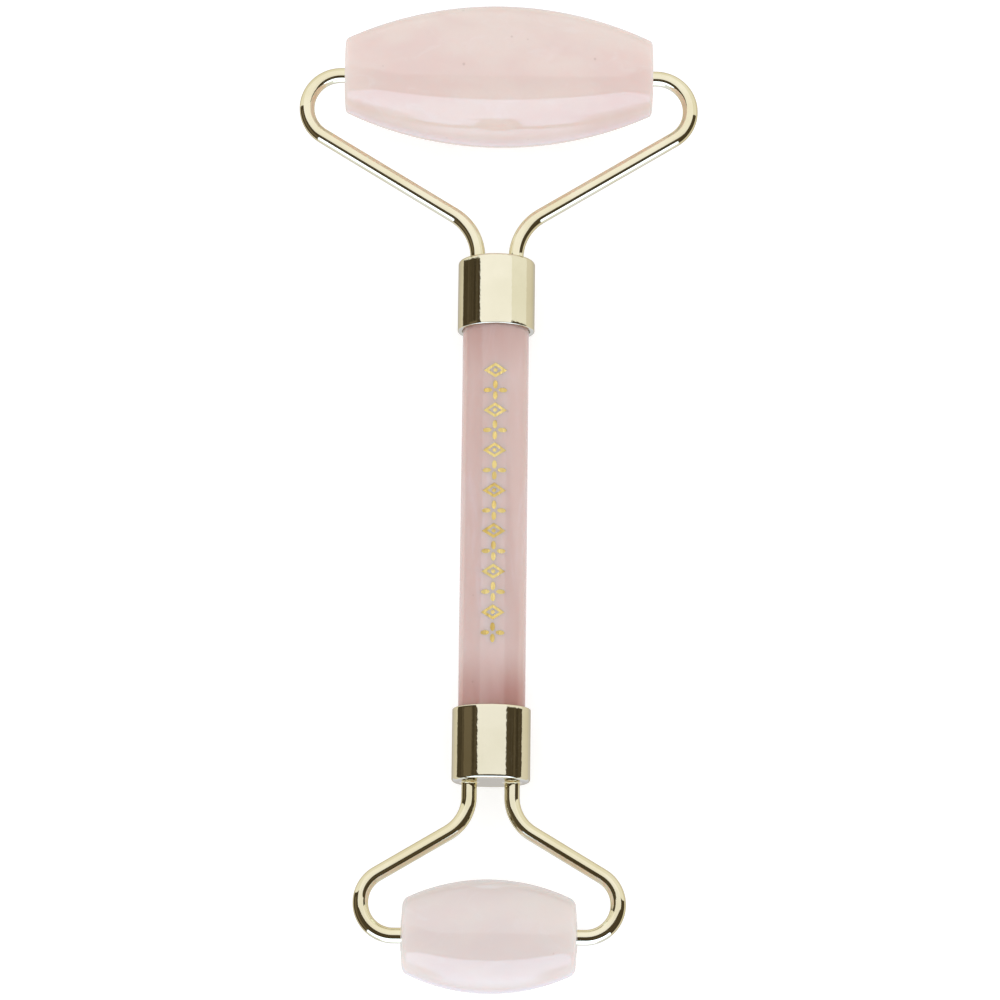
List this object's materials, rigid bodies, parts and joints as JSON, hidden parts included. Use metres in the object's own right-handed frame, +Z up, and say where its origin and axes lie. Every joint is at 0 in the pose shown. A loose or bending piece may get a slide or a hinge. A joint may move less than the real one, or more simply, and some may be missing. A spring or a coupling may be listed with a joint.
{
  "type": "double-ended face roller",
  "caption": "Hand-held face massage roller: a large and a small barrel stone spinning on wire forks at the two ends of a stone grip.",
  "frame": {"origin": "centre of the whole roller's footprint, on the surface that both stones' crowns rest on", "axes": "+Y along the grip towards the large stone, +X along the axles, +Z up, away from the surface; the engraved side of the grip faces +Z"},
  "size_m": [0.0588, 0.145, 0.0208],
  "materials": {
    "handle_quartz": "polished rose quartz, translucent, deeper pink than the rollers",
    "roller_quartz": "polished pale rose quartz, milky and translucent",
    "gold_plate": "pale gold plate, mirror polished",
    "gilding": "gold leaf size filling an engraving, satin",
    "braze": "brazing metal under the gold plate, smooth",
    "adhesive": "cured clear epoxy",
    "liner_plastic": "natural nylon"
  },
  "bodies": {
    "handle": {"handle_rod": "handle_quartz", "handle_gilding": "gilding", "upper_ferrule": "gold_plate", "lower_ferrule": "gold_plate", "upper_adhesive": "adhesive", "lower_adhesive": "adhesive", "upper_braze_pool": "braze", "lower_braze_pool": "braze", "upper_left_arm": "gold_plate", "upper_right_arm": "gold_plate", "lower_left_arm": "gold_plate", "lower_right_arm": "gold_plate", "upper_left_braze_fillet": "braze", "upper_right_braze_fillet": "braze", "lower_left_braze_fillet": "braze", "lower_right_braze_fillet": "braze"},
    "large_roller": {"large_stone": "roller_quartz", "large_left_liner": "liner_plastic", "large_right_liner": "liner_plastic"},
    "small_roller": {"small_stone": "roller_quartz", "small_left_liner": "liner_plastic", "small_right_liner": "liner_plastic"}
  },
  "joints": [
    {"name": "large_roller_spin", "type": "hinge", "parent": "handle", "child": "large_roller", "pos_m": [0, 0.06214, 0.0104], "axis": [1, 0, 0], "continuous": true},
    {"name": "small_roller_spin", "type": "hinge", "parent": "handle", "child": "small_roller", "pos_m": [0, -0.06454, 0.008], "axis": [1, 0, 0], "continuous": true}
  ]
}
